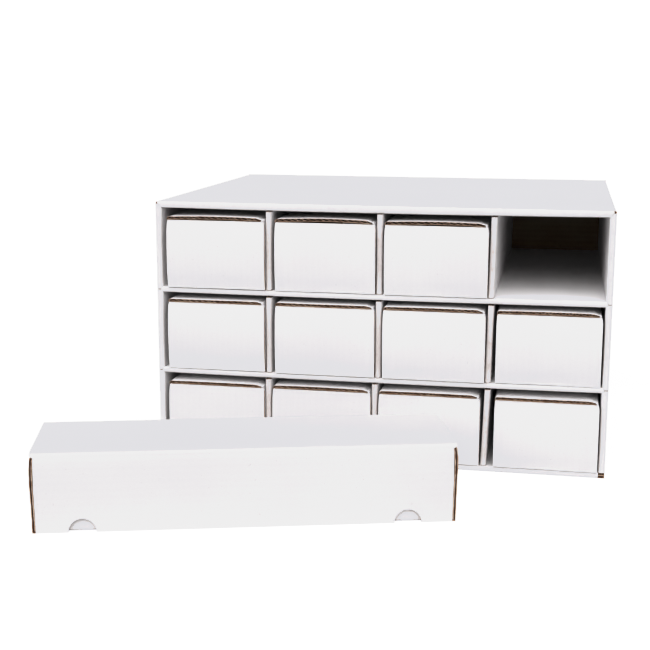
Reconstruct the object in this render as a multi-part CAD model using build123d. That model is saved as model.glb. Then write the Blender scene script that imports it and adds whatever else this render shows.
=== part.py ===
"""A trading card drawer box: an open-fronted cabinet folded from white corrugated board, three rows
of four slots, with twelve lidded card boxes that slide in as drawers. Eleven are in their slots. The
twelfth, from the right-hand slot of the top row, lies closed on the table in front.

Millimetres. The origin is the middle of the cabinet's underside, +Z is up, the open front faces -Y
and +X is to the right of someone who looks at the drawers.
"""

import math
import os

from build123d import *

# ---- Driving dimensions ----

# The board, and how it folds
board = 3.0  # one thickness of corrugated board
fold_gap = 0.6  # air between the two layers of a rolled-over wall
shelf_thick = 6.0  # a shelf, folded double
floor_thick = 6.0  # the cabinet's floor, folded double
divider_thick = 6.0  # a divider, folded double

# The card boxes that are the drawers
box_length = 378.0  # over the end folds, along the slot
box_width = 103.8  # across the slot, lid flap included
box_height = 73.6  # with the lid closed
end_bow = 3.0  # how far an end panel springs out at half its height
end_corner = 4.0  # rounding of an end panel's top corners
lid_seat_gap = 0.5  # between the end walls' rolled tops and the lid
flap_gap = 0.3  # between the lid's flap and what it closes against
flap_lift = 0.4  # between the flap's lower edge and the box's underside
hinge_gap = 0.3  # between the lid's rounded fold and the wall under it
notch_radius = 12.3  # the half-moon thumb notches in the flap
notch_inset = 44.0  # from each end of the box to a notch's middle

# The slots
columns = 4
rows = ("bottom", "middle", "top")
side_play = 4.9  # a slot's width less a box's
head_room = {"bottom": 8.4, "middle": 6.8, "top": 8.9}  # above the box in each row
rear_play = 6.0  # a slot's depth less a box's length
slide_gap = 0.2  # under a box in its slot
divider_gap = 2.0  # over a divider

# Where the loosely fitted pieces sit across the cabinet, against an even spacing
divider_shift = {
    "bottom": (1.1, -1.4, -3.4),
    "middle": (2.0, 1.8, -0.9),
    "top": (2.2, 2.2, 0.0),
}
drawer_shift = {
    "bottom": (2.9, 0.4, -2.3, 1.4),
    "middle": (3.3, 3.6, 1.1, 0.9),
    "top": (3.9, 3.6, 1.8),
}
# How many degrees each divider leans to the right, from its foot
divider_lean = {
    "bottom": (0.0, 0.0, 1.9),
    "middle": (0.0, 0.0, 0.9),
    "top": (0.0, 0.0, 0.9),
}
# How far each drawer's end fold stands out of the cabinet's front
drawer_proud = {
    "bottom": (1.5, 0.5, 1.0, 2.0),
    "middle": (1.0, 1.5, 2.0, 0.5),
    "top": (2.0, 1.0, 1.5),
}

# The cabinet's front folds and the joints between its pieces
shelf_neck = 12.0  # depth over which a shelf's front edge stays between the side walls
shelf_side_gap = 0.2  # between a shelf's front edge and the side walls
seam = 0.6  # between one roll-over of a side wall and the next
corner_notch = 2.5  # cut out of each end of the top's front fold
stub_set_back = 0.8  # the raw board ends at the bottom front corners
flap_seam = 1.0  # where two back flaps meet

# The loose drawer on the table
loose_turn = 16.25  # degrees between its length and the cabinet's front
loose_gap = 51.8  # from its nearest corner to the cabinet's front
loose_overhang = 61.4  # how far it reaches past the cabinet's left side

# ---- Sizes that follow ----

wall = 2 * board + fold_gap
slot_width = box_width + side_play
slot_depth = box_length + rear_play
row_height = {row: box_height + head_room[row] for row in rows}
cabinet_width = 2 * wall + columns * slot_width + (columns - 1) * divider_thick
cabinet_depth = slot_depth + 2 * board
row_floor = {}
level = floor_thick
for row in rows:
    row_floor[row] = level
    level += row_height[row] + shelf_thick
cabinet_height = level - shelf_thick + wall

left = -cabinet_width / 2
right = cabinet_width / 2
front = -cabinet_depth / 2
rear = cabinet_depth / 2
slot_end = front + slot_depth
roof = cabinet_height - wall  # underside of the doubled top

# In a card box's own frame: x across it, y from its front end, z from its underside
half_width = box_width / 2
end_height = box_height - board - lid_seat_gap
lid_under = box_height - board
wall_x = half_width - board - flap_gap  # outer face of the wall that the flap covers
hinge_radius = board / 2
hinge_x = -half_width + hinge_radius
hinge_z = box_height - hinge_radius


# ---- Shapes that are used again and again ----


def slab(x0, x1, y0, y1, z0, z1):
    """A rectangular piece of board between two corners."""
    size = Box(x1 - x0, y1 - y0, z1 - z0)
    return Pos((x0 + x1) / 2, (y0 + y1) / 2, (z0 + z1) / 2) * size


def prism(outline, run):
    """The closed outline that the lines and arcs make, drawn out along the vector run."""
    edges = [edge for line in outline for edge in line.edges()]
    return extrude(Face(Wire(edges)), amount=Vector(*run).length, dir=run)


def level_fold(x0, x1, y, z0, z1):
    """A half-round front fold that lies along X, with its foremost line at y."""
    radius = (z1 - z0) / 2
    low, high = (x0, y + radius, z0), (x0, y + radius, z1)
    nose = (x0, y, z0 + radius)
    return prism([ThreePointArc(low, nose, high), Line(high, low)], (x1 - x0, 0, 0))


def upright_fold(x0, x1, y, z0, z1):
    """A half-round front fold that stands along Z, with its foremost line at y."""
    radius = (x1 - x0) / 2
    near, far = (x0, y + radius, z0), (x1, y + radius, z0)
    nose = (x0 + radius, y, z0)
    return prism([ThreePointArc(near, nose, far), Line(far, near)], (0, 0, z1 - z0))


def quarter_turn(centre, start, end, radius):
    """The arc of a 90 degree fold in the XZ plane, from one direction to the other."""
    cx, cz = centre
    middle = ((start[0] + end[0]) / math.sqrt(2), (start[1] + end[1]) / math.sqrt(2))
    points = [(cx + radius * dx, 0, cz + radius * dz) for dx, dz in (start, middle, end)]
    return ThreePointArc(*points)


LEFT, RIGHT, UP, DOWN = (-1, 0), (1, 0), (0, 1), (0, -1)


# ---- A card box ----


def box_trough():
    """The bottom and the two long walls, folded from one width of board."""
    hinge_wall_top = lid_under - hinge_gap
    inner_left, inner_right = -half_width + board, wall_x - board
    outline = [
        Line((-half_width, 0, hinge_wall_top), (-half_width, 0, board)),
        quarter_turn((inner_left, board), LEFT, DOWN, board),
        Line((inner_left, 0, 0), (inner_right, 0, 0)),
        quarter_turn((inner_right, board), DOWN, RIGHT, board),
        Polyline(
            (wall_x, 0, board),
            (wall_x, 0, end_height),
            (inner_right, 0, end_height),
            (inner_right, 0, board),
            (inner_left, 0, board),
            (inner_left, 0, hinge_wall_top),
            (-half_width, 0, hinge_wall_top),
        ),
    ]
    return Pos(0, board, 0) * prism(outline, (0, box_length - 2 * board, 0))


def end_wall():
    """The front end: a bowed outer panel that rolls over its top edge and down inside."""
    x = -half_width
    top = end_height - board
    half_way = (board + top) / 2
    corner = board * (1 - math.sqrt(0.5))
    outline = [
        ThreePointArc((x, board, 0), (x, corner, corner), (x, 0, board)),
        ThreePointArc((x, 0, board), (x, -end_bow, half_way), (x, 0, top)),
        ThreePointArc((x, 0, top), (x, board, end_height), (x, 2 * board, top)),
        Polyline((x, 2 * board, top), (x, 2 * board, 0), (x, board, 0)),
    ]
    air = [
        ThreePointArc((x, board, board), (x, board - end_bow, half_way), (x, board, top)),
        Line((x, board, top), (x, board, board)),
    ]
    run = (box_width, 0, 0)
    panel = prism(outline, run) - prism(air, run)
    beside_flap = slab(wall_x, half_width, board, 2 * board, 0, end_height)
    return (panel - beside_flap) & rounded_end_blank()


def rounded_end_blank():
    """The outline of an end panel seen from the end, with its two rounded top corners."""
    low, high = -half_width, half_width
    shoulder = end_height - end_corner
    outline = [
        Line((high, 0, 0), (high, 0, shoulder)),
        quarter_turn((high - end_corner, shoulder), RIGHT, UP, end_corner),
        Line((high - end_corner, 0, end_height), (low + end_corner, 0, end_height)),
        quarter_turn((low + end_corner, shoulder), UP, LEFT, end_corner),
        Line((low, 0, shoulder), (low, 0, 0)),
        Line((low, 0, 0), (high, 0, 0)),
    ]
    return Pos(0, -end_bow, 0) * prism(outline, (0, end_bow + 2 * board, 0))


def card_tray():
    """A card box without its lid."""
    front_end = end_wall()
    middle = Plane(origin=(0, box_length / 2, 0), z_dir=(0, 1, 0))
    return box_trough() + front_end + mirror(front_end, about=middle)


def card_lid():
    """The lid: a rounded fold on the hinge line, the top, and the flap down the other side."""
    fold_x = half_width - board
    outline = [
        ThreePointArc((hinge_x, 0, lid_under), (-half_width, 0, hinge_z), (hinge_x, 0, box_height)),
        Line((hinge_x, 0, box_height), (fold_x, 0, box_height)),
        quarter_turn((fold_x, lid_under), UP, RIGHT, board),
        Line((half_width, 0, lid_under), (hinge_x, 0, lid_under)),
    ]
    flap_start = board + flap_gap
    flap_end = box_length - flap_start
    flap = slab(fold_x, half_width, flap_start, flap_end, flap_lift, lid_under)
    for y in (notch_inset, box_length - notch_inset):
        flap -= Pos(half_width, y, 0) * Rot(0, 90, 0) * Cylinder(notch_radius, 4 * board)
    return prism(outline, (0, box_length, 0)) + flap


# ---- The cabinet ----


def long_fold(piece, z):
    """Rounds the two long outer edges of a top or bottom panel, which lie at height z."""
    corners = [
        edge
        for edge in piece.edges().filter_by(Axis.Y)
        if abs(edge.center().Z - z) < board / 10
    ]
    return fillet(corners, board * 0.95)


def outer_shell():
    """The wrap of single board round the outside, and the flaps that close its back."""
    shell_front = front + wall / 2
    top = slab(left, right, shell_front, rear - board, cabinet_height - board, cabinet_height)
    bottom = slab(left, right, front + floor_thick / 2, rear - board, 0, board)
    side = slab(left, left + board, shell_front, rear - board, board, cabinet_height - board)
    middle = cabinet_height / 2
    upper = slab(left, right, rear - board, rear, middle + flap_seam / 2, cabinet_height)
    lower = slab(left, right, rear - board, rear, 0, middle - flap_seam / 2)
    inner = slab(
        left + board, -flap_seam / 2, slot_end, rear - board, board, cabinet_height - board
    )
    return {
        "top_panel": long_fold(top, cabinet_height),
        "bottom_panel": long_fold(bottom, 0),
        "left_wall": side,
        "right_wall": mirror(side, about=Plane.YZ),
        "back_flap_upper": upper,
        "back_flap_lower": lower,
        "back_flap_left": inner,
        "back_flap_right": mirror(inner, about=Plane.YZ),
    }


def top_roll_over():
    """The second layer of the top, rolled back under it from the front fold."""
    start = front + wall / 2
    layer_top = cabinet_height - board - fold_gap
    layer = slab(left + board, right - board, start, slot_end, roof, layer_top)
    fold = level_fold(left + corner_notch, right - corner_notch, front, roof, cabinet_height)
    return fold + layer


def bottom_roll_over():
    """The second layer of the floor, with raw board ends at the two front corners."""
    start = front + floor_thick / 2
    fold = level_fold(left + wall, right - wall, front, 0, floor_thick)
    layer = slab(left + board, right - board, start, slot_end, board, floor_thick)
    end = slab(left, left + wall, front + stub_set_back, start, 0, floor_thick)
    return fold + layer + end + mirror(end, about=Plane.YZ)


def left_roll_over(row):
    """One row's share of the left wall's second layer, which pins the shelves' edges."""
    low, high = row_floor[row], row_floor[row] + row_height[row]
    fold_low = low if row == rows[0] else low - shelf_thick / 2 + seam / 2
    fold_high = high if row == rows[-1] else high + shelf_thick / 2 - seam / 2
    start = front + wall / 2
    face = left + board + fold_gap
    fold = upright_fold(left, left + wall, front, fold_low, fold_high)
    neck = slab(face, left + wall, start, front + shelf_neck, fold_low, fold_high)
    layer = slab(face, left + wall, front + shelf_neck, slot_end, low, high)
    return fold + neck + layer


def shelf(row):
    """The shelf that the row stands on: its edges go between the side walls' roll-overs."""
    high = row_floor[row]
    low = high - shelf_thick
    radius = shelf_thick / 2
    reach = right - wall - shelf_side_gap
    fold = level_fold(-reach, reach, front, low, high)
    neck = slab(-reach, reach, front + radius, front + shelf_neck, low, high)
    plate = slab(left + board, right - board, front + shelf_neck, slot_end, low, high)
    return fold + neck + plate


def divider(row, gap_number):
    """A folded divider that stands on its shelf, gap_number slots from the left wall."""
    even = left + wall + gap_number * slot_width + (gap_number - 0.5) * divider_thick
    foot = Pos(even + divider_shift[row][gap_number - 1], 0, row_floor[row])
    half, height = divider_thick / 2, row_height[row] - divider_gap
    fold = upright_fold(-half, half, front, -half, height)
    folded = fold + slab(-half, half, front + half, slot_end, -half, height)
    leaning = foot * Rot(0, divider_lean[row][gap_number - 1], 0) * folded
    return leaning & slab(left, right, front, slot_end, row_floor[row], roof)


# ---- Where each drawer is ----


def slot_place(row, column):
    """The place of a drawer in its slot."""
    even = left + wall + (column - 0.5) * slot_width + (column - 1) * divider_thick
    x = even + drawer_shift[row][column - 1]
    y = front - drawer_proud[row][column - 1]
    return Pos(x, y, row_floor[row] + slide_gap)


def table_place():
    """The place of the drawer that lies on the table, its flap towards the viewer."""
    turn = math.radians(loose_turn)
    reach_x = box_length / 2 * math.cos(turn) + half_width * math.sin(turn)
    reach_y = box_length / 2 * math.sin(turn) + half_width * math.cos(turn)
    x = left - loose_overhang + reach_x
    y = front - loose_gap - reach_y
    return Pos(x, y, 0) * Rot(0, 0, loose_turn - 90) * Pos(0, -box_length / 2, 0)


# ---- All the pieces ----


def all_pieces():
    """Every piece by its name, in its place."""
    pieces = outer_shell()
    pieces["top_roll_over"] = top_roll_over()
    pieces["bottom_roll_over"] = bottom_roll_over()
    for row in rows:
        roll_over = left_roll_over(row)
        pieces[f"left_roll_over_{row}"] = roll_over
        pieces[f"right_roll_over_{row}"] = mirror(roll_over, about=Plane.YZ)
        for number in range(1, columns):
            pieces[f"divider_{row}_{number}"] = divider(row, number)
    pieces["lower_shelf"] = shelf("middle")
    pieces["upper_shelf"] = shelf("top")

    tray, lid = card_tray(), card_lid()
    for row in rows:
        for column in range(1, len(drawer_shift[row]) + 1):
            place = slot_place(row, column)
            pieces[f"drawer_{row}_{column}_tray"] = place * tray
            pieces[f"drawer_{row}_{column}_lid"] = place * lid
    pieces["loose_drawer_tray"] = table_place() * tray
    pieces["loose_drawer_lid"] = table_place() * lid
    return pieces


os.makedirs("parts", exist_ok=True)
for name, piece in all_pieces().items():
    export_step(piece, f"parts/{name}.step")
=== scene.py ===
"""A trading card drawer box of folded corrugated board: the cabinet, the card boxes that are its
drawers, and the card box that lies on the table in front of it.

Every piece is made of strips of board. A strip is drawn as the blank it was cut from, where u runs
across the folds and v along them, and a Fold says where each u lies once the strip is folded.
"""

import math
import random

import bmesh
import bpy
from mathutils import Matrix, Vector


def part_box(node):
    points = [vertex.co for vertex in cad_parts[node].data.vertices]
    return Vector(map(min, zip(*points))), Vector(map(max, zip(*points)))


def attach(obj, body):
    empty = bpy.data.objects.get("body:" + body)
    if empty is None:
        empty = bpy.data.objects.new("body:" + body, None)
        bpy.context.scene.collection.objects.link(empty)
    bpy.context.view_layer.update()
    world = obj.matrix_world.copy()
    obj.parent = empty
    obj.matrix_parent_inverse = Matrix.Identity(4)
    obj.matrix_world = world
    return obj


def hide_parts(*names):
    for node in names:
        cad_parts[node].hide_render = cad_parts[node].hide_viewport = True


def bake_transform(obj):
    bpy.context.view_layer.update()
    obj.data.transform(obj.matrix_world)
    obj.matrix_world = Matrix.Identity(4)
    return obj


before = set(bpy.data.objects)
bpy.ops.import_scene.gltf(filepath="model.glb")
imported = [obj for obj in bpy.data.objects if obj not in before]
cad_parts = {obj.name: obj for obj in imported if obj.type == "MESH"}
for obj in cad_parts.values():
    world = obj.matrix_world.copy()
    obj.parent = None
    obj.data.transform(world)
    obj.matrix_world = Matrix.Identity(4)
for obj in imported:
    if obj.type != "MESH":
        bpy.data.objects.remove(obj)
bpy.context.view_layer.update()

mm = 0.001

# ---- The board ----

BOARD = 3.0 * mm
LINER = 0.4 * mm  # the paper on each face
LIP = 0.9 * mm  # the same where a cut along the flutes has crushed the board
MEDIUM = 0.38 * mm  # the fluted paper between the faces
DROOP = 0.15 * mm  # how far the knife has pushed the fluted paper down
DROOPS = (-2.0, 0.6)  # how far this varies down and up, in droops
CRUSH = (0.05, 1.2)  # how far the knife has pushed the fluted paper in, in mm
PITCH = 6.5 * mm  # from one flute to the next
PRESSED = 2.9 * mm  # the board where it is folded double
INNER_BEND = 0.2 * mm  # radius inside a square fold
BEND = BOARD / 2 + INNER_BEND  # and along the board's middle
WEAR_AND_SHADE = 0.35  # how worn and shaded a fold is painted, where 1 is the most: partly crease wear, partly painted shade and warm reflection
EDGE_WEAR_AND_SHADE = 0.4  # the share of its wear and painted shade that a fold has where it begins and ends
CELL_DEPTH = 6 * mm  # how far the flutes are modelled behind a cut across them
GROOVE_DEPTH = 1.8 * mm  # and behind a cut along them
STEPS_A_FLUTE = 10

# ---- The edges of a strip: the depth of a cut where it is raw, or one of these ----

FLAT = "flat"  # an edge that another piece covers
WRAPPED = "wrapped"  # an edge that the white paper is drawn over
LINED = "lined"  # an edge that the brown paper is drawn over
SHADED = 0.0  # an edge with no depth, closed in painted shade between its faces
RAW_ENDS = (FLAT, GROOVE_DEPTH, FLAT, GROOVE_DEPTH)  # of a strip that is raw at both ends of its folds

# ---- Clearances, from the tightest ----

HAIR = 0.05 * mm
TIGHT = 0.1 * mm
CLOSE = 0.2 * mm
FREE = 0.3 * mm

# ---- Sizes that the frame gives ----

lid_low, lid_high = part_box("drawer_top_1_lid")
BOX_WIDTH = lid_high.x - lid_low.x
BOX_LENGTH = lid_high.y - lid_low.y
BOX_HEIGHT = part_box("loose_drawer_lid")[1].z
HALF = BOX_WIDTH / 2
top_low, top_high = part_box("top_roll_over")
LEFT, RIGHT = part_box("top_panel")[0].x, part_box("top_panel")[1].x
FRONT, REAR = top_low.y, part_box("back_flap_upper")[1].y
HEIGHT = top_high.z
ROOF = top_low.z
WALL = HEIGHT - ROOF  # a doubled wall with the air between its layers
SLOT_END = top_high.y
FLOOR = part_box("bottom_roll_over")[1].z

# ---- A card box's folds ----

END_BOW = 2.3 * mm  # how far an end panel springs out at half its height
BOW_SHARE = (0.75, 1.0)  # the least and the most of it that a panel has
BOW_FULLNESS = 0.65  # below 1, the bow is fuller than half a sine wave
LOOSE_BOW = 1.0 * mm  # how far the loose drawer's end panels spring out, above half their height
END_SLANT = 0.4 * mm  # how much narrower an end panel is at its top
END_SQUARE = 0.75  # how square its folds are: 0 a quarter circle, 1 a sharp corner
END_CORNER = 4.5 * mm  # rounding of an end panel's top corners
LID_GAP = 0.5 * mm  # between an end panel and the lid
END_HEIGHT = BOX_HEIGHT - BOARD - LID_GAP
ARCH = (0.05, 0.5)  # how far an end panel's bottom fold is drawn in, in mm
ARCH_MIDDLE = (-0.35, 0.35)  # where it is drawn in the most, in half widths of the box
ARCH_REACH = (0.3, 0.6)  # and how far from there it ends
FLAP_LIFT = 0.4 * mm  # between the flap's lower edge and the box's underside
FLAP_FOLLOWS = 0.8  # how much of the loose drawer's bow the ends of its flap follow
CROWN = (-0.2, 0.5)  # how far a lid's middle stands up, in mm
EASE = 7.0 * mm  # the lid is pressed thinner over this length on both sides of its flap's fold
PRESS = 1.5 * mm  # and by this much at the fold
LOOSE_PRESS = 0.5 * mm  # the same on the loose drawer
RAW_STOP = 0.15 * EASE  # the lid's raw ends stop this far before the fold
WALL_X = HALF - BOARD - FREE  # outer face of the wall that the flap covers
WALL_COLUMN = 9 * mm  # from a long wall's end to its first points
NOTCH_RADIUS = 12.3 * mm  # the half-moon thumb notches
NOTCH_INSET = 44.0 * mm
NOTCHES = (NOTCH_INSET, BOX_LENGTH - NOTCH_INSET)  # their middles along the box
NOTCH_STEPS = 16
FLAP_COLUMN = 60 * mm  # from the flap's middle to the points on both sides of it
LID_SPRING = 0.8 * mm  # how far the top row's lids spring up
LOOSE_TURN = math.radians(16.25)  # the loose drawer's length against the cabinet's front

# ---- The cabinet's folds ----

SEAM = 0.6 * mm  # between two roll-overs of a side wall
BACK_SEAM = 0.5 * mm  # half the gap where two flaps of the back meet
NECK = 12.0 * mm  # depth of a shelf's narrower front
MITRE_GAP = 0.25 * mm  # between the front folds at the cabinet's top corners
MITRE_OPEN = 2.6 * mm  # how much wider it is at the outside, where the folds are notched
MITRE_TAPER = 3  # the widening ends this part of the wall's thickness inwards: one third
STUB_SET_BACK = 0.8 * mm  # from the front to the raw ends at the floor's two corners
DIVIDER = 6.0 * mm  # its thickness
TOP_SQUARE = 0.55 * mm  # how much squarer a front fold is than a round one
BOTTOM_SQUARE = 0.45 * mm
SIDE_SQUARE = 0.5 * mm
SHELF_SQUARE = 0.3 * mm
DIVIDER_SQUARE = 0.5 * mm
FOOT_TRIM = 1.3 * mm  # how far a divider's foot is rounded off at its front
FOOT_TRIM_LENGTH = 9.0 * mm
SHELF_SAG = {"lower_shelf": 1.1 * mm, "upper_shelf": 0.8 * mm}  # in the middle of the front
# The same under the drawers of each row
ROW_SAG = {"bottom": 0.0, "middle": SHELF_SAG["lower_shelf"], "top": SHELF_SAG["upper_shelf"]}
ROOF_SAG = 1.3 * mm
SAG_DEPTH = 200 * mm  # how far behind the front a shelf hangs down
SINK_HEIGHT = 25 * mm  # how far up a drawer's end panel follows its shelf down

rng = random.Random(12)


def some(limits, unit):
    """A random size between two limits that are given in a unit."""
    return rng.uniform(*limits) * unit


def smooth(share):
    """Goes from 0 to 1 with the share, easily at both ends."""
    share = min(1.0, max(0.0, share))
    return share * share * (3 - 2 * share)


def sag(spot, most):
    """How far the board hangs down at a spot: the most in the middle of the cabinet's front."""
    return most * (1 - (spot.x / RIGHT) ** 2) * smooth(1 - (spot.y - FRONT) / SAG_DEPTH)


def evenly(low, high, parts):
    """The places that part the way from low to high evenly."""
    return [low + (high - low) * n / parts for n in range(1, parts)]


def place_object(name, data):
    """Makes an object of the data and puts it in the scene."""
    made = bpy.data.objects.new(name, data)
    bpy.context.scene.collection.objects.link(made)
    return made


# ---- Folding ----


def left_of(heading):
    """The direction on the left of a heading."""
    return Vector((-math.sin(heading), math.cos(heading)))


class Fold:
    """The line that the middle of a strip follows, seen end on, in the axes a and b. The white
    face is on the left of its heading."""

    def __init__(self, a, b, heading):
        self.end = Vector((a, b))
        self.heading = math.radians(heading)
        self.length = 0.0
        self.runs = []  # of each flat panel or fold: its u, length, first point, heading and turn
        self.rows = [(0.0, 0.0)]  # u of each row of points, and how worn and shaded the board is painted there

    def _run(self, length, turn, rows, wear_and_shade):
        self.runs.append((self.length, length, self.end, self.heading, turn))
        for n in range(1, rows + 1):
            worn_and_shaded = wear_and_shade * (EDGE_WEAR_AND_SHADE + (1 - EDGE_WEAR_AND_SHADE) * math.sin(math.pi * n / rows))
            self.rows.append((self.length + length * n / rows, worn_and_shaded))
        self.end = self.at(self.length + length, 0.0)
        self.heading += turn
        self.length += length
        return self

    def go(self, length, rows=1):
        """A flat panel, of the given length."""
        return self._run(length, 0.0, rows, 0.0)

    def bend(self, degrees, radius=BEND, rows=6, wear_and_shade=WEAR_AND_SHADE):
        """A fold, to the right if degrees is below 0."""
        turn = math.radians(degrees)
        return self._run(abs(turn) * radius, turn, rows, wear_and_shade)

    def at(self, u, lift):
        """The point lift outside the strip's middle at u."""
        start, length, point, heading, turn = self.runs[0]
        for run in self.runs:
            if run[0] <= u:
                start, length, point, heading, turn = run
        along = u - start
        if turn:
            share = along / length
            radius = length / turn
            centre = point + radius * left_of(heading)
            heading += turn * share
            return centre + (lift - radius) * left_of(heading)
        ahead = Vector((math.cos(heading), math.sin(heading)))
        return point + along * ahead + lift * left_of(heading)


# ---- Board ----

AXES = {"xy": (0, 1, 2), "yz": (1, 2, 0), "xz": (0, 2, 1)}  # which of x, y and z a strip's a, b and v are
WHITE, KRAFT, CUT, FLUTE, PAINTED_SHADE = range(5)  # the material slots of a piece
COVERED = {WRAPPED: WHITE, LINED: KRAFT, FLAT: CUT}  # what closes an edge that isn't open
MIRRORED = Matrix.Scale(-1, 4, (1, 0, 0))
TOUCH = 0.001 * mm  # points nearer than this are one
STRAIGHT = 0.05  # the rim runs straight on where the sine of its turn is below this
LONGEST_MITRE = 2.0  # how far in a corner of the rim moves at most, in depths of its cuts
SHARP = math.radians(32)  # faces that meet at more than this angle show an edge


class Piece:
    """The mesh of a piece, to which strips of board are added."""

    def __init__(self):
        self.points = []
        self.worn_and_shaded = []  # of each point: how worn and shaded the board is painted there
        self.blank = []  # and where it lies across and along the flutes
        self.faces = []
        self.finishes = []  # the material slot of each face

    def point(self, place, u, v, worn_and_shaded=0.0):
        self.points.append(place)
        self.blank.append((u, v))
        self.worn_and_shaded.append(worn_and_shaded)
        return len(self.points) - 1

    def face(self, corners, finish):
        self.faces.append(corners)
        self.finishes.append(finish)

    def strip(self, fold, plane, ends, columns=(), span=None, hem=None, bow=None, press=None, along="v",
              thick=BOARD, edges=(GROOVE_DEPTH,) * 4, faces=(WHITE, KRAFT)):
        """Adds a strip. It lies between the two ends in v, with points at the columns between.
        span(a, b) gives a row's own ends, hem(v) how much shorter the last row is there, bow(u, v)
        how far the strip stands off its fold line and press(u) how much thinner it is. The flutes
        run along u or v. The edges are the first row, first column, last row and last column: each
        is the depth of its cut, one of COVERED, or a function of u that gives one of these."""
        half, core = thick / 2, thick / 2 - LINER

        def add(u, v, lift, worn_and_shaded=0.0):
            if press:
                lift = (lift + half) * (1 - press(u) / thick) - half
            a, b = fold.at(u, lift + (bow(u, v) if bow else 0.0))
            spot = Vector()
            for axis, value in zip(AXES[plane], (a, b, v)):
                spot[axis] = value
            flat = (u, v) if along == "v" else (v, u)
            return self.point(spot, *flat, worn_and_shaded)

        grid = []
        for number, (u, worn_and_shaded) in enumerate(fold.rows):
            low, high = span(*fold.at(u, 0.0)) if span else ends
            last = hem is not None and number == len(fold.rows) - 1
            grid.append([(u - hem(v) if last else u, v, worn_and_shaded) for v in (low, *columns, high)])
        skins = []
        for lift in (half, -half):
            skins.append([[add(u, v, lift, worn_and_shaded) for u, v, worn_and_shaded in row] for row in grid])
        for skin, finish in zip(skins, faces):
            for i in range(len(grid) - 1):
                for j in range(len(grid[0]) - 1):
                    self.face([skin[i][j], skin[i + 1][j], skin[i + 1][j + 1], skin[i][j + 1]], finish)

        rim, sides = outline(len(grid), len(grid[0]))
        spots = [Vector(grid[r][c][:2]) for r, c in rim]
        kinds = []
        for k, side in enumerate(sides):
            middle = (spots[k] + spots[(k + 1) % len(rim)]) / 2
            kinds.append(edges[side](middle.x) if callable(edges[side]) else edges[side])
        depths = [0.0 if kind in COVERED else kind for kind in kinds]
        inside = inset(spots, depths)
        backs = []
        for skin, lift in zip(skins, (core, -core)):
            rim_points = [skin[r][c] for r, c in rim]
            backs.append(self.lip(rim_points, lift, spots, inside, kinds, depths, add))
        # The back of each raw cut, and each SHADED edge, is closed in painted shade
        for k in range(len(rim)):
            n = (k + 1) % len(rim)
            self.face([backs[0][k], backs[1][k], backs[1][n], backs[0][n]], COVERED.get(kinds[k], PAINTED_SHADE))
        self.flutes(spots, inside, depths, 0 if along == "v" else 1, core, add)

    def lip(self, skin, lift, spots, inside, kinds, depths, add):
        """Closes the rim from one face of the board to the back of its cuts."""
        mouth, back = [], []
        for k, (spot, far) in enumerate(zip(spots, inside)):
            level = lift  # unless the board is crushed, along the flutes
            if 0 < max(depths[k - 1], depths[k]) < CELL_DEPTH:
                level = lift * (BOARD / 2 - LIP) / (BOARD / 2 - LINER)
            mouth.append(add(*spot, level))
            back.append(mouth[k] if (far - spot).length < TOUCH else add(*far, level))
        for k, kind in enumerate(kinds):
            n = (k + 1) % len(kinds)
            finish = COVERED.get(kind, CUT)
            if in_line(spots[k], inside[k], inside[n], spots[n]):
                self.face(once(skin[k], mouth[k], back[k], back[n], mouth[n], skin[n]), finish)
            else:
                self.face([skin[k], mouth[k], mouth[n], skin[n]], finish)
                self.face(once(mouth[k], back[k], back[n], mouth[n]), KRAFT)
        return back

    def flutes(self, spots, inside, depths, across, core, add):
        """Adds the waved paper that shows in the cuts across the flutes."""
        k = 0
        while k < len(spots):
            if depths[k] < CELL_DEPTH:
                k += 1
                continue
            stretch = [k]
            while k < len(spots) and depths[k] >= CELL_DEPTH:
                k += 1
                stretch.append(k % len(spots))
            self.wave([spots[n] for n in stretch], [inside[n] for n in stretch], across, core, add)

    def wave(self, edge, back, across, core, add):
        """One stretch of waved paper, from the line of the cut to the line behind it. It stops the
        thickness of a liner short of both ends."""
        if edge[0][across] > edge[-1][across]:
            edge, back = edge[::-1], back[::-1]
        first, last = edge[0][across] + LINER, edge[-1][across] - LINER
        first, last = max(first, back[0][across]), min(last, back[-1][across])
        if last - first < PITCH / 2:
            return
        count = max(4, round((last - first) / PITCH * STEPS_A_FLUTE))
        start = rng.uniform(0, 2 * math.pi)
        height = core - MEDIUM / 2 - DROOP
        rings = []
        for n in range(count + 1):
            where = first + (last - first) * n / count
            if n % (STEPS_A_FLUTE // 2) == 0:
                crush = some(CRUSH, mm)
                level = some(DROOPS, DROOP)
            lift = level + height * math.sin(start + 2 * math.pi * where / PITCH)
            near, far = cross(edge, across, where), cross(back, across, where)
            near = near + (far - near).normalized() * crush
            above, below = lift + MEDIUM / 2, lift - MEDIUM / 2
            rings.append([add(*near, above), add(*far, above), add(*far, below), add(*near, below)])
        for one, two in zip(rings, rings[1:]):
            for c in range(4):
                self.face([one[c], two[c], two[c - 3], one[c - 3]], FLUTE)
        self.face(rings[0], FLUTE)
        self.face(rings[-1], FLUTE)

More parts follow.
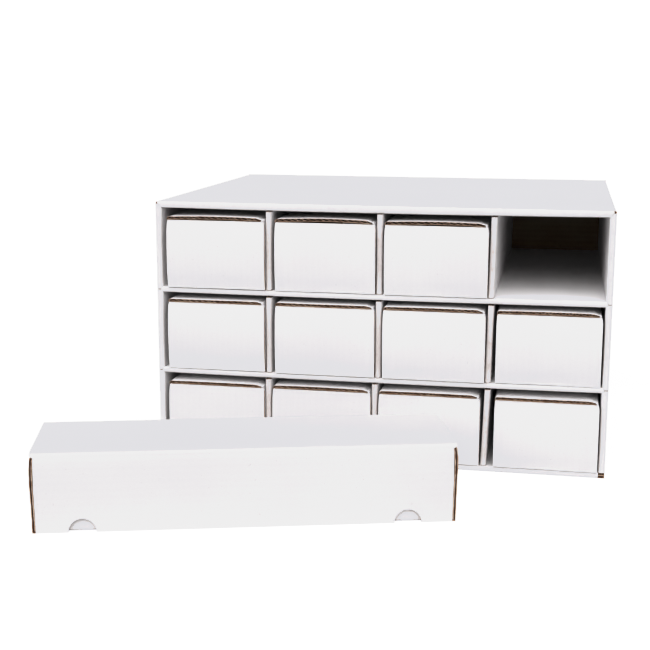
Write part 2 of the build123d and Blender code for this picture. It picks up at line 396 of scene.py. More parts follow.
    def leave(self, name, body, *nodes, matrix=None, slot="white_board"):
        """Makes the object, on its CAD body, in place of the CAD nodes."""
        mesh = bpy.data.meshes.new(name)
        mesh.from_pydata([matrix @ p if matrix else p for p in self.points], [], self.faces)
        for finish in (white_face, kraft_face, cut_paper, fluted_paper, painted_flute_shade):
            mesh.materials.append(finish)
        mesh.polygons.foreach_set("material_index", self.finishes)
        shape = bmesh.new()
        shape.from_mesh(mesh)
        bmesh.ops.recalc_face_normals(shape, faces=shape.faces)
        shape.to_mesh(mesh)
        shape.free()
        blank = mesh.uv_layers.new(name="Blank")
        for loop in mesh.loops:
            blank.data[loop.index].uv = self.blank[loop.vertex_index]
        worn_and_shaded = mesh.attributes.new("worn_and_shaded", "FLOAT", "POINT")
        worn_and_shaded.data.foreach_set("value", self.worn_and_shaded)
        mesh.shade_smooth()
        mesh.set_sharp_from_angle(angle=SHARP)
        made = place_object(name, mesh)
        if body:
            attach(made, body)
        if nodes:
            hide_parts(*nodes)
        return made


def once(*corners):
    """The corners without repeats."""
    return [corner for n, corner in enumerate(corners) if corner not in corners[:n]]


def in_line(start, one, two, end):
    """Whether four points of the blank lie on one line."""
    ahead = (end - start).normalized()
    aside = [ahead.x * (spot - start).y - ahead.y * (spot - start).x for spot in (one, two)]
    return all(abs(off) < TOUCH for off in aside)


def outline(rows, columns):
    """The grid's rim as (row, column) in order, and on which of its four edges each step lies."""
    rim = [(r, 0) for r in range(rows - 1)]
    rim += [(rows - 1, c) for c in range(columns - 1)]
    rim += [(r, columns - 1) for r in range(rows - 1, 0, -1)]
    rim += [(0, c) for c in range(columns - 1, 0, -1)]
    sides = [1] * (rows - 1) + [2] * (columns - 1) + [3] * (rows - 1) + [0] * (columns - 1)
    return rim, sides


def inset(spots, depths):
    """Each point of the closed rim, moved in by the depths of the cuts on its two sides."""
    moved = []
    for k, spot in enumerate(spots):
        before, after = spot - spots[k - 1], spots[(k + 1) % len(spots)] - spot
        one = Vector((-before.y, before.x)).normalized()
        two = Vector((-after.y, after.x)).normalized()
        area = one.x * two.y - one.y * two.x
        d_one, d_two = depths[k - 1], depths[k]
        if abs(area) < STRAIGHT:
            shift = (one + two).normalized() * max(d_one, d_two)
        else:
            shift = Vector((d_one * two.y - d_two * one.y, d_two * one.x - d_one * two.x)) / area
        limit = LONGEST_MITRE * max(d_one, d_two)
        if shift.length > limit:
            shift = shift.normalized() * limit
        moved.append(spot + shift)
    return moved


def cross(line, across, where):
    """The point of a line of points at which the coordinate across has the value where."""
    for one, two in zip(line, line[1:]):
        if two[across] > one[across] and one[across] <= where <= two[across]:
            return one.lerp(two, (where - one[across]) / (two[across] - one[across]))
    return line[0].copy() if where < line[0][across] else line[-1].copy()


# ---- How materials are made ----


class Level:
    """What a node gives, such as a value that varies over a surface. Arithmetic adds Math nodes."""

    def __init__(self, shading, socket):
        self.shading = shading
        self.socket = socket

    def _math(self, operation, one, two=0.0):
        return self.shading.node("ShaderNodeMath", {"operation": operation}, {0: one, 1: two})

    def __add__(self, other):
        return self._math("ADD", self, other)

    def __mul__(self, other):
        return self._math("MULTIPLY", self, other)

    __radd__ = __add__
    __rmul__ = __mul__

    def sine(self):
        return self._math("SINE", self)

    def between(self, low, high):
        """0 below low, 1 above high, and even between them."""
        sockets = {"Value": self, "From Min": low, "From Max": high}
        return self.shading.node("ShaderNodeMapRange", {"clamp": True}, sockets)


class Shading:
    """The nodes of a material or of the studio's surroundings."""

    def __init__(self, owner):
        owner.use_nodes = True
        self.tree = owner.node_tree
        self.tree.nodes.clear()

    def node(self, kind, settings, sockets, output=0):
        """Adds a node: its settings first, then the values or links of its sockets."""
        made = self.tree.nodes.new(kind)
        for setting, value in settings.items():
            setattr(made, setting, value)
        for socket, value in sockets.items():
            if isinstance(value, Level):
                self.tree.links.new(value.socket, made.inputs[socket])
            else:
                made.inputs[socket].default_value = value
        return Level(self, made.outputs[output]) if made.outputs else None

    def by_eye(self):
        """1 where the camera looks, 0 where light is thrown."""
        return self.node("ShaderNodeLightPath", {}, {}, "Is Camera Ray")


class Finish(Shading):
    """A material, and what its nodes are used for."""

    def __init__(self, name):
        self.material = bpy.data.materials.new(name)
        super().__init__(self.material)

    def blank(self):
        """Where a point lies on the blank: x across the flutes and y along them, in metres."""
        return self.node("ShaderNodeUVMap", {"uv_map": "Blank"}, {})

    def spot(self):
        """Where a point lies in space, in metres."""
        return self.node("ShaderNodeTexCoord", {}, {}, "Object")

    def worn_and_shaded(self):
        """How worn and shaded the board is painted: 0 where it is flat, up to 1 on a fold."""
        return self.node("ShaderNodeAttribute", {"attribute_name": "worn_and_shaded"}, {}, "Fac")

    def ribs(self, blank):
        """The flutes, from 0 between them to 1 on their crests."""
        x = self.node("ShaderNodeSeparateXYZ", {}, {"Vector": blank}, "X")
        return (x * (2 * math.pi / PITCH)).sine() * 0.5 + 0.5

    def stretched(self, vector, x, y, z):
        """The vector, with each of its coordinates multiplied."""
        return self.node("ShaderNodeMapping", {}, {"Vector": vector, "Scale": (x, y, z)})

    def noise(self, vector, scale, detail=3.0, roughness=0.55):
        sockets = {"Vector": vector, "Scale": scale, "Detail": detail, "Roughness": roughness}
        return self.node("ShaderNodeTexNoise", {}, sockets)

    def mix(self, share, one, two):
        """The share of colour two in colour one. The node's sockets 0, 6, 7 and 2 are its colours'."""
        return self.node("ShaderNodeMix", {"data_type": "RGBA"}, {0: share, 6: one, 7: two}, 2)

    def bump(self, height, distance, strength=1.0, normal=None):
        sockets = {"Height": height, "Distance": distance, "Strength": strength}
        if normal:
            sockets["Normal"] = normal
        return self.node("ShaderNodeBump", {}, sockets)

    def surface(self, colour, roughness, normal, glow=0.0):
        return self.node("ShaderNodeBsdfPrincipled", {}, {
            "Base Color": colour,
            "Roughness": roughness,
            "Normal": normal,
            "Specular IOR Level": DULL,
            "Emission Color": PURE_WHITE,
            "Emission Strength": glow,
        })

    def end(self, surface):
        """Ends the material with the given surface."""
        self.node("ShaderNodeOutputMaterial", {}, {"Surface": surface})
        return self.material

    def paper(self, colour, roughness, normal):
        """Ends the material with a paper surface."""
        return self.end(self.surface(colour, roughness, normal))


# ---- The finishes ----

DULL = 0.15  # how strongly paper mirrors, where 0.5 is plastic
PURE_WHITE = (1, 1, 1, 1)
WHITE_DIM, WHITE_CLEAR = (0.82, 0.806, 0.81, 1), (0.845, 0.834, 0.836, 1)
WHITE_FIBRE = (0.74, 0.72, 0.715, 1)
WHITE_FLECK = (0.6, 0.55, 0.5, 1)
# scuffs, and painted shade and warm reflection along the folds
WHITE_SCUFF_AND_SHADE = (0.5, 0.43, 0.41, 1)
KRAFT_DIM, KRAFT_CLEAR = (0.37, 0.245, 0.155, 1), (0.46, 0.32, 0.21, 1)
KRAFT_FIBRE = (0.54, 0.39, 0.27, 1)
KRAFT_FLECK = (0.2, 0.115, 0.07, 1)
EDGE_DIM, EDGE_CLEAR = (0.34, 0.225, 0.165, 1), (0.66, 0.53, 0.44, 1)
EDGE_TEAR = (0.13, 0.075, 0.05, 1)
FLUTE_CLEAR = (0.62, 0.49, 0.40, 1)
FLUTE_GRAIN = (0.18, 0.105, 0.07, 1)
# painted shade: the dark deep in the flute hollows, with a random tone
HOLLOW_SHADE_DIM, HOLLOW_SHADE_CLEAR = (0.03, 0.018, 0.013, 1), (0.075, 0.045, 0.032, 1)
FLOOR_DIM, FLOOR_CLEAR = (0.9, 0.9, 0.905, 1), (0.93, 0.93, 0.93, 1)  # the floor as it is seen
THROWN_DIM, THROWN_CLEAR = (0.58, 0.58, 0.585, 1), (0.62, 0.62, 0.62, 1)  # and as it throws light back
FLOOR_GLOW = 1.3  # of the floor as it is seen


def white_liner():
    """The white face: a thin smooth coat on paper, with the flutes just telling through it."""
    finish = Finish("white_face")
    blank, spot, worn_and_shaded = finish.blank(), finish.spot(), finish.worn_and_shaded()
    cloud = finish.noise(spot, 9.0)
    fibre = finish.noise(finish.stretched(blank, 900.0, 350.0, 1.0), 1.0, 4.0, 0.7)
    ribs = finish.ribs(blank)
    fleck = finish.noise(spot, 420.0, 2.0).between(0.7, 0.78)
    scuff = finish.noise(spot, 130.0, 5.0, 0.7).between(0.52, 0.74) * worn_and_shaded
    colour = finish.mix(cloud.between(0.3, 0.7), WHITE_DIM, WHITE_CLEAR)
    colour = finish.mix(fibre.between(0.4, 0.8) * 0.2 + ribs * 0.04, colour, WHITE_FIBRE)
    colour = finish.mix(fleck * 0.35, colour, WHITE_FLECK)
    # Along the folds: crease wear and scuffs, and painted shade and warm reflection
    colour = finish.mix(worn_and_shaded * worn_and_shaded * 0.4 + scuff * 0.3, colour, WHITE_SCUFF_AND_SHADE)
    roughness = 0.6 + 0.14 * fibre + 0.12 * scuff
    board = finish.bump(ribs, 0.014 * mm)
    grain = finish.bump(fibre, 0.02 * mm, normal=board)
    crumple = finish.bump(finish.noise(spot, 34.0, 3.0), 0.5 * mm, 0.35, grain)
    return finish.paper(colour, roughness, crumple)


def kraft_liner():
    """The brown face: long fibres, darker flecks and the flutes pressed through."""
    finish = Finish("kraft_face")
    blank, spot = finish.blank(), finish.spot()
    cloud = finish.noise(spot, 16.0)
    fibre = finish.noise(finish.stretched(blank, 240.0, 1400.0, 1.0), 1.0, 5.0, 0.75)
    ribs = finish.ribs(blank)
    fleck = finish.noise(spot, 700.0, 2.0).between(0.66, 0.76)
    colour = finish.mix(cloud.between(0.3, 0.7), KRAFT_DIM, KRAFT_CLEAR)
    colour = finish.mix(fibre.between(0.3, 0.75) * 0.5, colour, KRAFT_FIBRE)
    colour = finish.mix(fleck * 0.6 + ribs * 0.12, colour, KRAFT_FLECK)
    roughness = 0.72 + 0.16 * fibre
    board = finish.bump(ribs, 0.08 * mm)
    return finish.paper(colour, roughness, finish.bump(fibre, 0.05 * mm, normal=board))


def cut_edge():
    """The cut edge of the papers, torn a little by the knife."""
    finish = Finish("cut_paper")
    spot = finish.spot()
    tear = finish.noise(spot, 900.0, 4.0, 0.7)
    patch = finish.noise(spot, 120.0, 3.0)
    colour = finish.mix(patch.between(0.4, 0.62), EDGE_DIM, EDGE_CLEAR)
    colour = finish.mix(tear.between(0.5, 0.8) * 0.5, colour, EDGE_TEAR)
    return finish.paper(colour, 0.8 + 0.1 * tear, finish.bump(tear, 0.12 * mm))


def medium_paper():
    """The fluted paper inside, browner and rougher than the faces."""
    finish = Finish("fluted_paper")
    spot = finish.spot()
    grain = finish.noise(spot, 1100.0, 4.0, 0.7)
    patch = finish.noise(spot, 90.0, 3.0)
    colour = finish.mix(patch.between(0.35, 0.65), EDGE_DIM, FLUTE_CLEAR)
    colour = finish.mix(grain.between(0.45, 0.75) * 0.4, colour, FLUTE_GRAIN)
    return finish.paper(colour, 0.85 + 0.1 * grain, finish.bump(grain, 0.08 * mm))


def painted_hollow_shade():
    """Painted shade: a dark wall that stands for the shade deep in the flutes behind a cut, and on edges
    in shade.
    """
    finish = Finish("flute_hollow_painted_shade")
    grain = finish.noise(finish.spot(), 500.0, 3.0)
    colour = finish.mix(grain.between(0.35, 0.7), HOLLOW_SHADE_DIM, HOLLOW_SHADE_CLEAR)
    return finish.paper(colour, 0.9 + 0.05 * grain, finish.bump(grain, 0.05 * mm))


def pale_floor():
    """The table: to the eye white enough to run into the backdrop, but it throws less light back."""
    finish = Finish("pale_floor")
    cloud = finish.noise(finish.spot(), 1.5)
    colour = finish.mix(cloud, FLOOR_DIM, FLOOR_CLEAR)
    dimmer = finish.mix(cloud, THROWN_DIM, THROWN_CLEAR)
    roughness, normal = 0.7 + 0.1 * cloud, finish.bump(cloud, 0.2 * mm)
    seen = finish.surface(colour, roughness, normal, FLOOR_GLOW)
    thrown = finish.surface(dimmer, roughness, normal)
    return finish.end(finish.node("ShaderNodeMixShader", {}, {0: finish.by_eye(), 1: thrown, 2: seen}))


white_face = white_liner()
kraft_face = kraft_liner()
cut_paper = cut_edge()
fluted_paper = medium_paper()
painted_flute_shade = painted_hollow_shade()


# ---- A card box, in its own axes: x across it, y from its front end, z up ----


def thumb_notches(v):
    """How far the flap's lower edge is cut back at v."""
    for middle in NOTCHES:
        off = abs(v - middle)
        if off < NOTCH_RADIUS:
            return math.sqrt(NOTCH_RADIUS**2 - off**2)
    return 0.0


def flap_columns():
    """Where the lid needs points, for its notches to be round."""
    middle = BOX_LENGTH / 2
    columns = [middle - FLAP_COLUMN, middle, middle + FLAP_COLUMN]
    columns += [2 * CELL_DEPTH, BOX_LENGTH - 2 * CELL_DEPTH]
    for notch in NOTCHES:
        columns.append(notch - NOTCH_RADIUS - HAIR)
        for n in range(NOTCH_STEPS + 1):
            columns.append(notch - NOTCH_RADIUS * math.cos(math.pi * n / NOTCH_STEPS))
        columns.append(notch + NOTCH_RADIUS + HAIR)
    return sorted(columns)


def loose_bow(height):
    """How far the loose drawer's end panel springs out at a height."""
    share = min(1.0, max(0.0, height / END_HEIGHT))
    return LOOSE_BOW * math.sin(math.pi * share**2)


def card_lid(piece, crown, loose):
    """The lid: the top, and the flap that folds down over the tray's right-hand wall. A loose
    drawer's lid starts beyond the crease that it turns on."""
    lid_middle = BOX_HEIGHT - BOARD / 2
    across = BOX_WIDTH - BOARD - 2 * BEND
    if loose:
        fold = Fold(-HALF + BOARD / 2 + BEND, lid_middle, 0)
    else:
        fold = Fold(-HALF + BOARD / 2, lid_middle - BEND, 90).bend(-90)
    top_start = fold.length
    fold.go(across - EASE, 6).go(EASE, 5)
    crease = fold.length
    fold.bend(-90, rows=7)
    flap = fold.length
    fold.go(EASE, 4).go(lid_middle - BEND - FLAP_LIFT - EASE, 3)

    def span(a, b):
        # From 0 on the top to 1 on the flap
        down = 0.0 if a < 0 else min(1.0, max(0.0, (lid_middle - BEND / 2 - b) / BEND))
        set_back = (BOARD + FREE - (FLAP_FOLLOWS * loose_bow(b) if loose else 0.0)) * down**2
        return set_back, BOX_LENGTH - set_back

    def bow(u, v):
        share = (u - top_start) / across
        return crown * math.sin(math.pi * share) if 0 < share < 1 else 0.0

    def press(u):
        share = 1 - max(0.0, crease - u, u - flap) / EASE
        return (LOOSE_PRESS if loose else PRESS) * smooth(share)

    def raw_end(u):
        return CELL_DEPTH if u < crease - RAW_STOP else WRAPPED

    piece.strip(fold, "xz", None, flap_columns(), span, thumb_notches, bow, press,
                edges=(LINED, raw_end, GROOVE_DEPTH, raw_end))


def tray_trough(piece):
    """The bottom and the two long walls."""
    low, hinge_wall_top = BOARD / 2, BOX_HEIGHT - BOARD - FREE
    fold = Fold(WALL_X - BOARD / 2, END_HEIGHT, -90).go(END_HEIGHT - low - BEND, 3).bend(-90)
    fold.go(HALF + WALL_X - BOARD - 2 * BEND, 3).bend(-90).go(hinge_wall_top - low - BEND, 3)
    ends = (BOARD + TIGHT, BOX_LENGTH - BOARD - TIGHT)
    columns = (ends[0] + WALL_COLUMN, BOX_LENGTH / 3, BOX_LENGTH * 2 / 3, ends[1] - WALL_COLUMN)
    piece.strip(fold, "xz", ends, columns, edges=(GROOVE_DEPTH, FLAT, LINED, FLAT))


def beyond_round(turned):
    """How far a sharp corner lies outside a fold of the board, at a share of its quarter turn."""
    angle = math.pi / 2 * turned
    return (BEND + BOARD / 2) * (1 / max(math.cos(angle), math.sin(angle)) - 1)


def tray_end(piece, bulge, loose, rear, sink):
    """An end wall: its outer panel springs out by the bulge, and the board rolls over at the top and
    goes down inside. Over part of the width the bottom fold is drawn in a little. The front one
    sinks with its shelf."""
    low = BOARD / 2
    top = END_HEIGHT - BOARD / 2 - BEND
    crest = BOARD / 2 + BEND
    fold = Fold(crest + TIGHT, low, 180).go(TIGHT)
    fold_start = fold.length
    fold.bend(-90)
    panel_start, panel = fold.length, top - low - BEND
    fold.go(panel, 10).bend(-180, rows=10)
    fold.go(top - BOARD - CLOSE, 2)
    shoulder = END_HEIGHT - END_CORNER
    arch = some(ARCH, mm)
    arch_middle = some(ARCH_MIDDLE, HALF)
    arch_reach = some(ARCH_REACH, HALF)

    def span(a, b):
        if a > crest + CLOSE:
            return -HALF + BOARD + FREE, WALL_X - BOARD - FREE
        rise = max(0.0, b - shoulder)
        inward = END_CORNER - math.sqrt(max(0.0, END_CORNER**2 - rise**2))
        slant = 0.0 if loose else END_SLANT * b / END_HEIGHT
        return -HALF + inward, HALF - inward - slant

    def bow(u, v):
        share = (u - panel_start) / panel
        if share >= 1:
            over = (u - panel_start - panel) / (math.pi / 2 * BEND)
            return END_SQUARE * beyond_round(over) if over < 1 else 0.0
        if share > 0 and loose:
            return loose_bow(low + BEND + share * panel)
        if share > 0:
            return bulge * math.sin(math.pi * share) ** BOW_FULLNESS
        turned = max(0.0, (u - fold_start) / (panel_start - fold_start))
        drawn = arch * max(0.0, 1 - ((v - arch_middle) / arch_reach) ** 2)
        return END_SQUARE * beyond_round(turned) - drawn * turned

    columns = [HALF * n / 5 for n in range(-4, 4)]  # fewer on the right, where the inner panel is shorter
    start = len(piece.points)
    piece.strip(fold, "yz", None, columns, span, bow=bow, along="u", edges=RAW_ENDS)
    for spot in piece.points[start:]:
        if rear:
            spot.y = BOX_LENGTH - spot.y
        else:
            spot.z -= sink * smooth(1 - spot.z / SINK_HEIGHT)


def card_box(name, body, place, loose=False, sink=0.0, spring=0.0):
    """One card box: its tray and its lid."""
    tray, lid = Piece(), Piece()
    tray_trough(tray)
    for rear in (False, True):
        tray_end(tray, some(BOW_SHARE, END_BOW), loose, rear, sink)
    card_lid(lid, some(CROWN, mm) + spring, loose)
    tray.leave(f"{name}_tray_board", body, f"{name}_tray", matrix=place)
    lid.leave(f"{name}_lid_board", "loose_drawer_lid" if loose else body, f"{name}_lid", matrix=place)


def drawers():
    """The eleven card boxes in their slots."""
    for row, count in (("bottom", 4), ("middle", 4), ("top", 3)):
        for column in range(1, count + 1):
            name = f"drawer_{row}_{column}"
            low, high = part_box(f"{name}_lid")
            place = Matrix.Translation(((low.x + high.x) / 2, low.y, high.z - BOX_HEIGHT))
            sink = sag(place.translation, ROW_SAG[row])
            card_box(name, name, place, sink=sink, spring=LID_SPRING if row == "top" else 0.0)


def loose_drawer():
    """The card box on the table, with the crease that its lid turns on."""
    low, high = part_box("loose_drawer_lid")
    middle = (low + high) / 2
    place = Matrix.Translation((middle.x, middle.y, 0))
    place = place @ Matrix.Rotation(LOOSE_TURN - math.pi / 2, 4, "Z")
    place = place @ Matrix.Translation((0, -BOX_LENGTH / 2, 0))
    card_box("loose_drawer", "loose_drawer", place, loose=True)
    crease = Piece()
    lid_middle = BOX_HEIGHT - BOARD / 2
    fold = Fold(-HALF + BOARD / 2, lid_middle - BEND, 90).bend(-90, rows=8)
    crease.strip(fold, "xz", (0.0, BOX_LENGTH), edges=(LINED, CELL_DEPTH, LINED, CELL_DEPTH))
    made = crease.leave("loose_drawer_lid_crease", None, matrix=place)
    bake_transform(made)


# ---- The cabinet ----


def squared(fold_start, fold_length, amount):
    """A bow that makes a rolled fold squarer than a half circle."""
    def bow(u, v):
        share = (u - fold_start) / fold_length
        return amount * math.sin(2 * math.pi * share) ** 2 if 0 < share < 1 else 0.0
    return bow


def rolled(level, heading, height, thick, square, wear_and_shade=WEAR_AND_SHADE):
    """A Fold that comes forward at a level and rolls over a front fold of the given height, and the
    bow that makes this fold squarer. The heading is 180 for a level strip, -90 for an upright one.
    There is a row of points as far back as a divider's foot is trimmed."""
    radius = (height - thick) / 2
    fold = Fold(SLOT_END, level, heading) if heading == 180 else Fold(level, SLOT_END, heading)
    fold.go(SLOT_END - FRONT - height / 2 - FOOT_TRIM_LENGTH, 6).go(FOOT_TRIM_LENGTH)
    bow = squared(fold.length, math.pi * radius, square)
    return fold.bend(-180, radius, 12, wear_and_shade), bow


def in_front_fold(y, height):
    """Whether y is as far forward as a front fold of the given height."""
    return y < FRONT + height / 2 + TIGHT


def mitre_open(inward):
    """How much wider the top corner's mitre is, at a share of the wall's thickness inwards."""
    return MITRE_OPEN * max(0.0, 1 - MITRE_TAPER * inward)


def cabinet_piece(name, *strips, matrix=None, slot="white_board", hang=None):
    """A piece of the cabinet, made of the given strips. hang(spot) is how far a spot hangs down."""
    piece = Piece()
    for strip in strips:
        piece.strip(**strip)
    if hang:
        for spot in piece.points:
            spot.z -= hang(spot)
    piece.leave(f"{name}_board", "cabinet", name, matrix=matrix, slot=slot)


def wrap():
    """The single board round the outside of the cabinet."""
    edge = BOARD / 2
    reach = RIGHT - LEFT - 2 * (edge + BEND)
    top = Fold(LEFT + edge, HEIGHT - edge - BEND, 90).bend(-90).go(reach, 4).bend(-90)
    bottom = Fold(RIGHT - edge, edge + BEND, -90).bend(-90).go(reach, 4).bend(-90)
    upright = Fold(LEFT + edge, edge + BEND, 90).go(HEIGHT - 2 * (edge + BEND), 4)
    front, rear = FRONT + WALL / 2, REAR - edge - BEND
    # Its front and back ends are closed in painted shade
    shared = dict(plane="xz", columns=evenly(front, rear, 4), edges=(FLAT, SHADED, FLAT, SHADED))
    cabinet_piece("top_panel", dict(fold=top, ends=(front, rear), **shared))
    cabinet_piece("bottom_panel", dict(fold=bottom, ends=(FRONT + FLOOR / 2, rear), **shared))
    side = dict(fold=upright, ends=(front, REAR - BOARD - edge - BEND), **shared)
    cabinet_piece("left_wall", side)
    cabinet_piece("right_wall", side, matrix=MIRRORED)


def back():
    """The four flaps that close the back: two inside, and two over them that meet at half height."""
    edge = BOARD / 2
    middle = HEIGHT / 2
    drop = middle - BACK_SEAM - edge - BEND
    upper = Fold(REAR - edge - BEND, HEIGHT - edge, 0).bend(-90).go(drop, 4)
    lower = Fold(REAR - edge, middle - BACK_SEAM, -90).go(drop, 4).bend(-90)
    outer = dict(plane="yz", ends=(LEFT + CLOSE, RIGHT - CLOSE), columns=evenly(LEFT, RIGHT, 6), along="u")
    cabinet_piece("back_flap_upper", dict(
        fold=upper, edges=(FLAT, GROOVE_DEPTH, CELL_DEPTH, GROOVE_DEPTH), **outer))
    cabinet_piece("back_flap_lower", dict(
        fold=lower, edges=(CELL_DEPTH, GROOVE_DEPTH, FLAT, GROOVE_DEPTH), **outer))
    inner = Fold(LEFT + edge, REAR - BOARD - edge - BEND, 90).bend(-90)
    inner.go(-LEFT - edge - BEND - BACK_SEAM, 4)
    flap = dict(
        fold=inner, plane="xy", ends=(BOARD + CLOSE, HEIGHT - BOARD - CLOSE),
        columns=evenly(0.0, HEIGHT, 4), along="u", edges=(FLAT, GROOVE_DEPTH, CELL_DEPTH, GROOVE_DEPTH))
    cabinet_piece("back_flap_left", flap, slot="kraft_board")
    cabinet_piece("back_flap_right", flap, matrix=MIRRORED, slot="kraft_board")


def top_front():
    """The top's second layer, rolled back under it."""
    fold, bow = rolled(ROOF + BOARD / 2, 180, WALL, BOARD, TOP_SQUARE)

    def span(a, b):
        down = (HEIGHT - BOARD / 2 - b) / (WALL - BOARD)
        inward = BOARD + FREE
        if in_front_fold(a, WALL):
            inward = WALL * down + MITRE_GAP + mitre_open(down)
        return LEFT + inward, RIGHT - inward

    def hang(spot):
        return sag(spot, ROOF_SAG) * min(1.0, (HEIGHT - spot.z) / WALL)

    strip = dict(
        fold=fold, plane="yz", ends=None, columns=evenly(LEFT, RIGHT, 8), span=span, along="u", bow=bow,
        edges=RAW_ENDS)
    cabinet_piece("top_roll_over", strip, hang=hang)


def bottom_front():
    """The floor's second layer, and the raw ends of board at its two front corners."""
    radius = (FLOOR - PRESSED) / 2
    fold = Fold(FRONT + FLOOR / 2, PRESSED / 2, 180).bend(-180, radius, 12)
    bow = squared(0.0, fold.length, BOTTOM_SQUARE)
    fold.go(SLOT_END - FRONT - FLOOR / 2, 6)

    def span(a, b):
        inward = WALL if in_front_fold(a, FLOOR) else BOARD + FREE
        return LEFT + inward, RIGHT - inward

    strips = [dict(
        fold=fold, plane="yz", ends=None, columns=evenly(LEFT, RIGHT, 8), span=span, along="u", bow=bow,
        thick=PRESSED, edges=RAW_ENDS)]
    for x in (LEFT, RIGHT - WALL):
        for level in (BOARD / 2, FLOOR - BOARD / 2):
            strips.append(dict(
                fold=Fold(x, level, 0).go(WALL, 3), plane="xz", ends=(FRONT + STUB_SET_BACK, FRONT + NECK),
                thick=PRESSED, faces=(KRAFT, KRAFT), edges=(GROOVE_DEPTH, CELL_DEPTH, GROOVE_DEPTH, FLAT)))
    cabinet_piece("bottom_roll_over", *strips)


def side_front(row, low, high, half_shelf):
    """One row's second layer on the left, from low to high, and its mirror image on the right. Its
    front fold is mitred round the shelves."""
    fold, bow = rolled(LEFT + WALL - BOARD / 2, -90, WALL, BOARD, SIDE_SQUARE)

    def span(a, b):
        if a > LEFT + WALL / 2 and not in_front_fold(b, WALL):
            return low + HAIR, high - HAIR
        mitre = half_shelf * min(1.0, max(0.0, (a - LEFT - WALL / 2) / (WALL / 2 - BOARD / 2)))
        above = half_shelf - max(SEAM / 2, mitre)
        below = above if row != "bottom" else 0.0
        if row == "top":
            inward = (a - LEFT - BOARD / 2) / (WALL - BOARD)
            near = 1 - (b - FRONT) / (WALL / 2)
            above = WALL * (1 - inward) - MITRE_GAP - mitre_open(inward) * smooth(2 * near)
        return low - below + HAIR, high + above - HAIR

    strip = dict(
        fold=fold, plane="xy", ends=None, columns=evenly(low, high, 4), span=span, along="u", bow=bow,
        edges=RAW_ENDS)
    cabinet_piece(f"left_roll_over_{row}", strip)
    cabinet_piece(f"right_roll_over_{row}", strip, matrix=MIRRORED)


def side_fronts():
    """Each side wall's second layer, a piece a row."""
    lower_low, lower_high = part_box("lower_shelf")
    upper_low, upper_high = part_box("upper_shelf")
    half_shelf = (lower_high.z - lower_low.z) / 2
    side_front("bottom", FLOOR, lower_low.z, half_shelf)
    side_front("middle", lower_high.z, upper_low.z, half_shelf)
    side_front("top", upper_high.z, ROOF, half_shelf)


def shelf(name):
    """A shelf, folded double, with its front ends mitred between the side walls."""
    low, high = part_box(name)
    thick = high.z - low.z
    middle = (low.z + high.z) / 2
    fold, bow = rolled(low.z + PRESSED / 2, 180, thick, PRESSED, SHELF_SQUARE)
    fold.go(SLOT_END - FRONT - thick / 2, 6)

    def span(a, b):
        tip = 0.0
        if a < FRONT + thick / 2:
            tip = (WALL / 2 - FREE) * max(0.0, 1 - abs(b - middle) / (thick / 2 - PRESSED / 2))
        far = RIGHT - WALL - CLOSE if a < FRONT + NECK else RIGHT - BOARD - FREE
        return -far - tip, far + tip

    def hang(spot):
        return sag(spot, SHELF_SAG[name])

    columns = [RIGHT * n / 5 for n in range(-4, 5)]
    strip = dict(
        fold=fold, plane="yz", ends=None, columns=columns, span=span, bow=bow, thick=PRESSED,
        edges=(CELL_DEPTH,) * 4)
    cabinet_piece(name, strip, hang=hang)


def divider(name, most):
    """A divider, folded double, that stands on its shelf, which hangs down by most. It leans where
    its CAD node is wider than the divider is thick."""
    low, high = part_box(name)
    lean = (high.x - low.x - DIVIDER) / (high.z - low.z)
    middle = low.x + DIVIDER / 2
    # Its front fold is painted fully worn, which darkens it: partly crease wear, mostly painted shade
    # between the drawers
    fold, bow = rolled(low.x + DIVIDER - PRESSED / 2, -90, DIVIDER, PRESSED, DIVIDER_SQUARE, wear_and_shade=1.0)
    fold.go(FOOT_TRIM_LENGTH).go(SLOT_END - FRONT - DIVIDER / 2 - FOOT_TRIM_LENGTH, 6)

    def span(a, b):
        side = abs(a - middle) / (DIVIDER / 2 - PRESSED / 2)
        near = 1 - (b - FRONT) / FOOT_TRIM_LENGTH
        return low.z + HAIR + FOOT_TRIM * smooth(side) * max(0.0, near), high.z

    def hang(spot):
        return sag(spot, most) * (high.z - spot.z) / (high.z - low.z)

    sheared = Matrix(((1, 0, lean, -lean * low.z), (0, 1, 0, 0), (0, 0, 1, 0), (0, 0, 0, 1)))
    strip = dict(
        fold=fold, plane="xy", ends=None, columns=evenly(low.z, high.z, 5), span=span, bow=bow,
        thick=PRESSED, edges=(FLAT, FLAT, FLAT, CELL_DEPTH))
    cabinet_piece(name, strip, matrix=sheared, hang=hang)


def dividers():
    """The nine dividers, three a row."""
    for row, most in ROW_SAG.items():
        for number in (1, 2, 3):
            divider(f"divider_{row}_{number}", most)


wrap()
back()
top_front()
bottom_front()
side_fronts()
shelf("lower_shelf")
shelf("upper_shelf")
dividers()
drawers()
loose_drawer()


# ---- Floor, light and camera ----

FLOOR_REACH = 14.0  # in metres, each way
AMBIENT = 0.08  # how bright the backdrop is to the object
BACKDROP = 2.5  # and to the eye
FRONT_LIGHT = 1.83  # the strength of the two main lights
# Each soft light's name, the direction it shines in, its width in degrees and its strength
LIGHTS = (
    ("light_from_left", (0.38, 0.62, -0.68), 60, FRONT_LIGHT),
    ("light_from_right", (-0.38, 0.62, -0.68), 60, FRONT_LIGHT),
    ("low_light", (-0.08, 0.88, -0.47), 22, 0.3),
    ("back_light", (0.1, -0.95, -0.3), 50, 0.75),
)
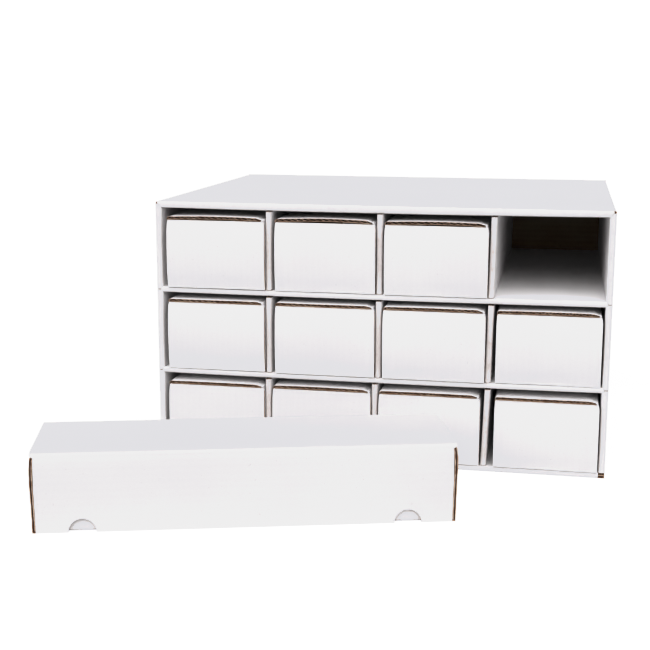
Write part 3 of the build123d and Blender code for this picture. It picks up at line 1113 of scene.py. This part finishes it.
# How bright each level of light is shown. Shadows are deepened, and whites come in gently, so that
# only the backdrop is pure white.
BRIGHTEST = 2.0  # the level at which the curve ends
TONES = (
    (0.01, 0.008), (0.03, 0.014), (0.06, 0.026), (0.12, 0.06), (0.2, 0.115), (0.36, 0.265),
    (0.66, 0.635), (0.72, 0.73), (0.88, 0.768), (0.95, 0.85), (1.05, 0.866), (1.2, 0.88),
    (1.4, 0.93), (1.7, 0.975),
)
BLUE = 2  # the curve of the blue light, which comes in a little sooner, so that the tops are cool
BLUE_TONES = {0.72: 0.762, 0.88: 0.792}
IMAGE_WIDTH = 650  # the photograph's, in pixels
FOCAL_LENGTH = 1230.72  # in the same pixels
SENSOR_WIDTH = 36.0  # in millimetres, as the lens is
CAMERA_SPOT = (0.1836, -1.4102, 0.3912)
# How far it is turned left, down and over, in radians
CAMERA_YAW, CAMERA_PITCH, CAMERA_ROLL = -0.1926, 0.1954, 0.0027


def table():
    """The floor that everything stands on."""
    reach = FLOOR_REACH
    mesh = bpy.data.meshes.new("table")
    corners = [(-reach, -reach, 0), (reach, -reach, 0), (reach, reach, 0), (-reach, reach, 0)]
    mesh.from_pydata(corners, [], [(0, 1, 2, 3)])
    mesh.materials.append(pale_floor())
    place_object("table", mesh)


def soft_light(name, towards, width, strength):
    """A soft light from so far away that it reaches every place alike."""
    lamp = bpy.data.lights.new(name, "SUN")
    lamp.angle = math.radians(width)
    lamp.energy = strength
    place_object(name, lamp).rotation_euler = Vector(towards).to_track_quat("-Z", "Y").to_euler()


def studio():
    """Soft light from above and in front, a little from behind, and a white backdrop that gives
    little light itself."""
    world = bpy.data.worlds.new("studio")
    air = Shading(world)
    dim = air.node("ShaderNodeBackground", {}, {"Color": PURE_WHITE, "Strength": AMBIENT})
    backdrop = air.node("ShaderNodeBackground", {}, {"Color": PURE_WHITE, "Strength": BACKDROP})
    mixed = air.node("ShaderNodeMixShader", {}, {0: air.by_eye(), 1: dim, 2: backdrop})
    air.node("ShaderNodeOutputWorld", {}, {"Surface": mixed})
    bpy.context.scene.world = world
    for light in LIGHTS:
        soft_light(*light)


def tones():
    """How light becomes the picture's brightness."""
    view = bpy.context.scene.view_settings
    view.view_transform = "Standard"
    view.use_curve_mapping = True
    view.curve_mapping.white_level = (BRIGHTEST,) * 3
    for channel, curve in enumerate(view.curve_mapping.curves[:3]):
        for light, shown in TONES:
            if channel == BLUE:
                shown = BLUE_TONES.get(light, shown)
            curve.points.new(light / BRIGHTEST, shown)
        for point in curve.points:
            point.handle_type = "VECTOR"
    view.curve_mapping.update()


def camera():
    """The photograph's view."""
    yaw, pitch, roll = CAMERA_YAW, CAMERA_PITCH, CAMERA_ROLL
    ahead = Vector((math.sin(yaw) * math.cos(pitch), math.cos(yaw) * math.cos(pitch), -math.sin(pitch)))
    level = Vector((math.cos(yaw), -math.sin(yaw), 0))
    upward = level.cross(ahead)
    right = level * math.cos(roll) + upward * math.sin(roll)
    up = upward * math.cos(roll) - level * math.sin(roll)
    lens = bpy.data.cameras.new("camera")
    lens.sensor_width = SENSOR_WIDTH
    lens.lens = SENSOR_WIDTH * FOCAL_LENGTH / IMAGE_WIDTH
    holder = place_object("camera", lens)
    turn = Matrix((right, up, -ahead)).transposed().to_4x4()
    holder.matrix_world = Matrix.Translation(CAMERA_SPOT) @ turn
    bpy.context.scene.camera = holder


table()
studio()
tones()
camera()
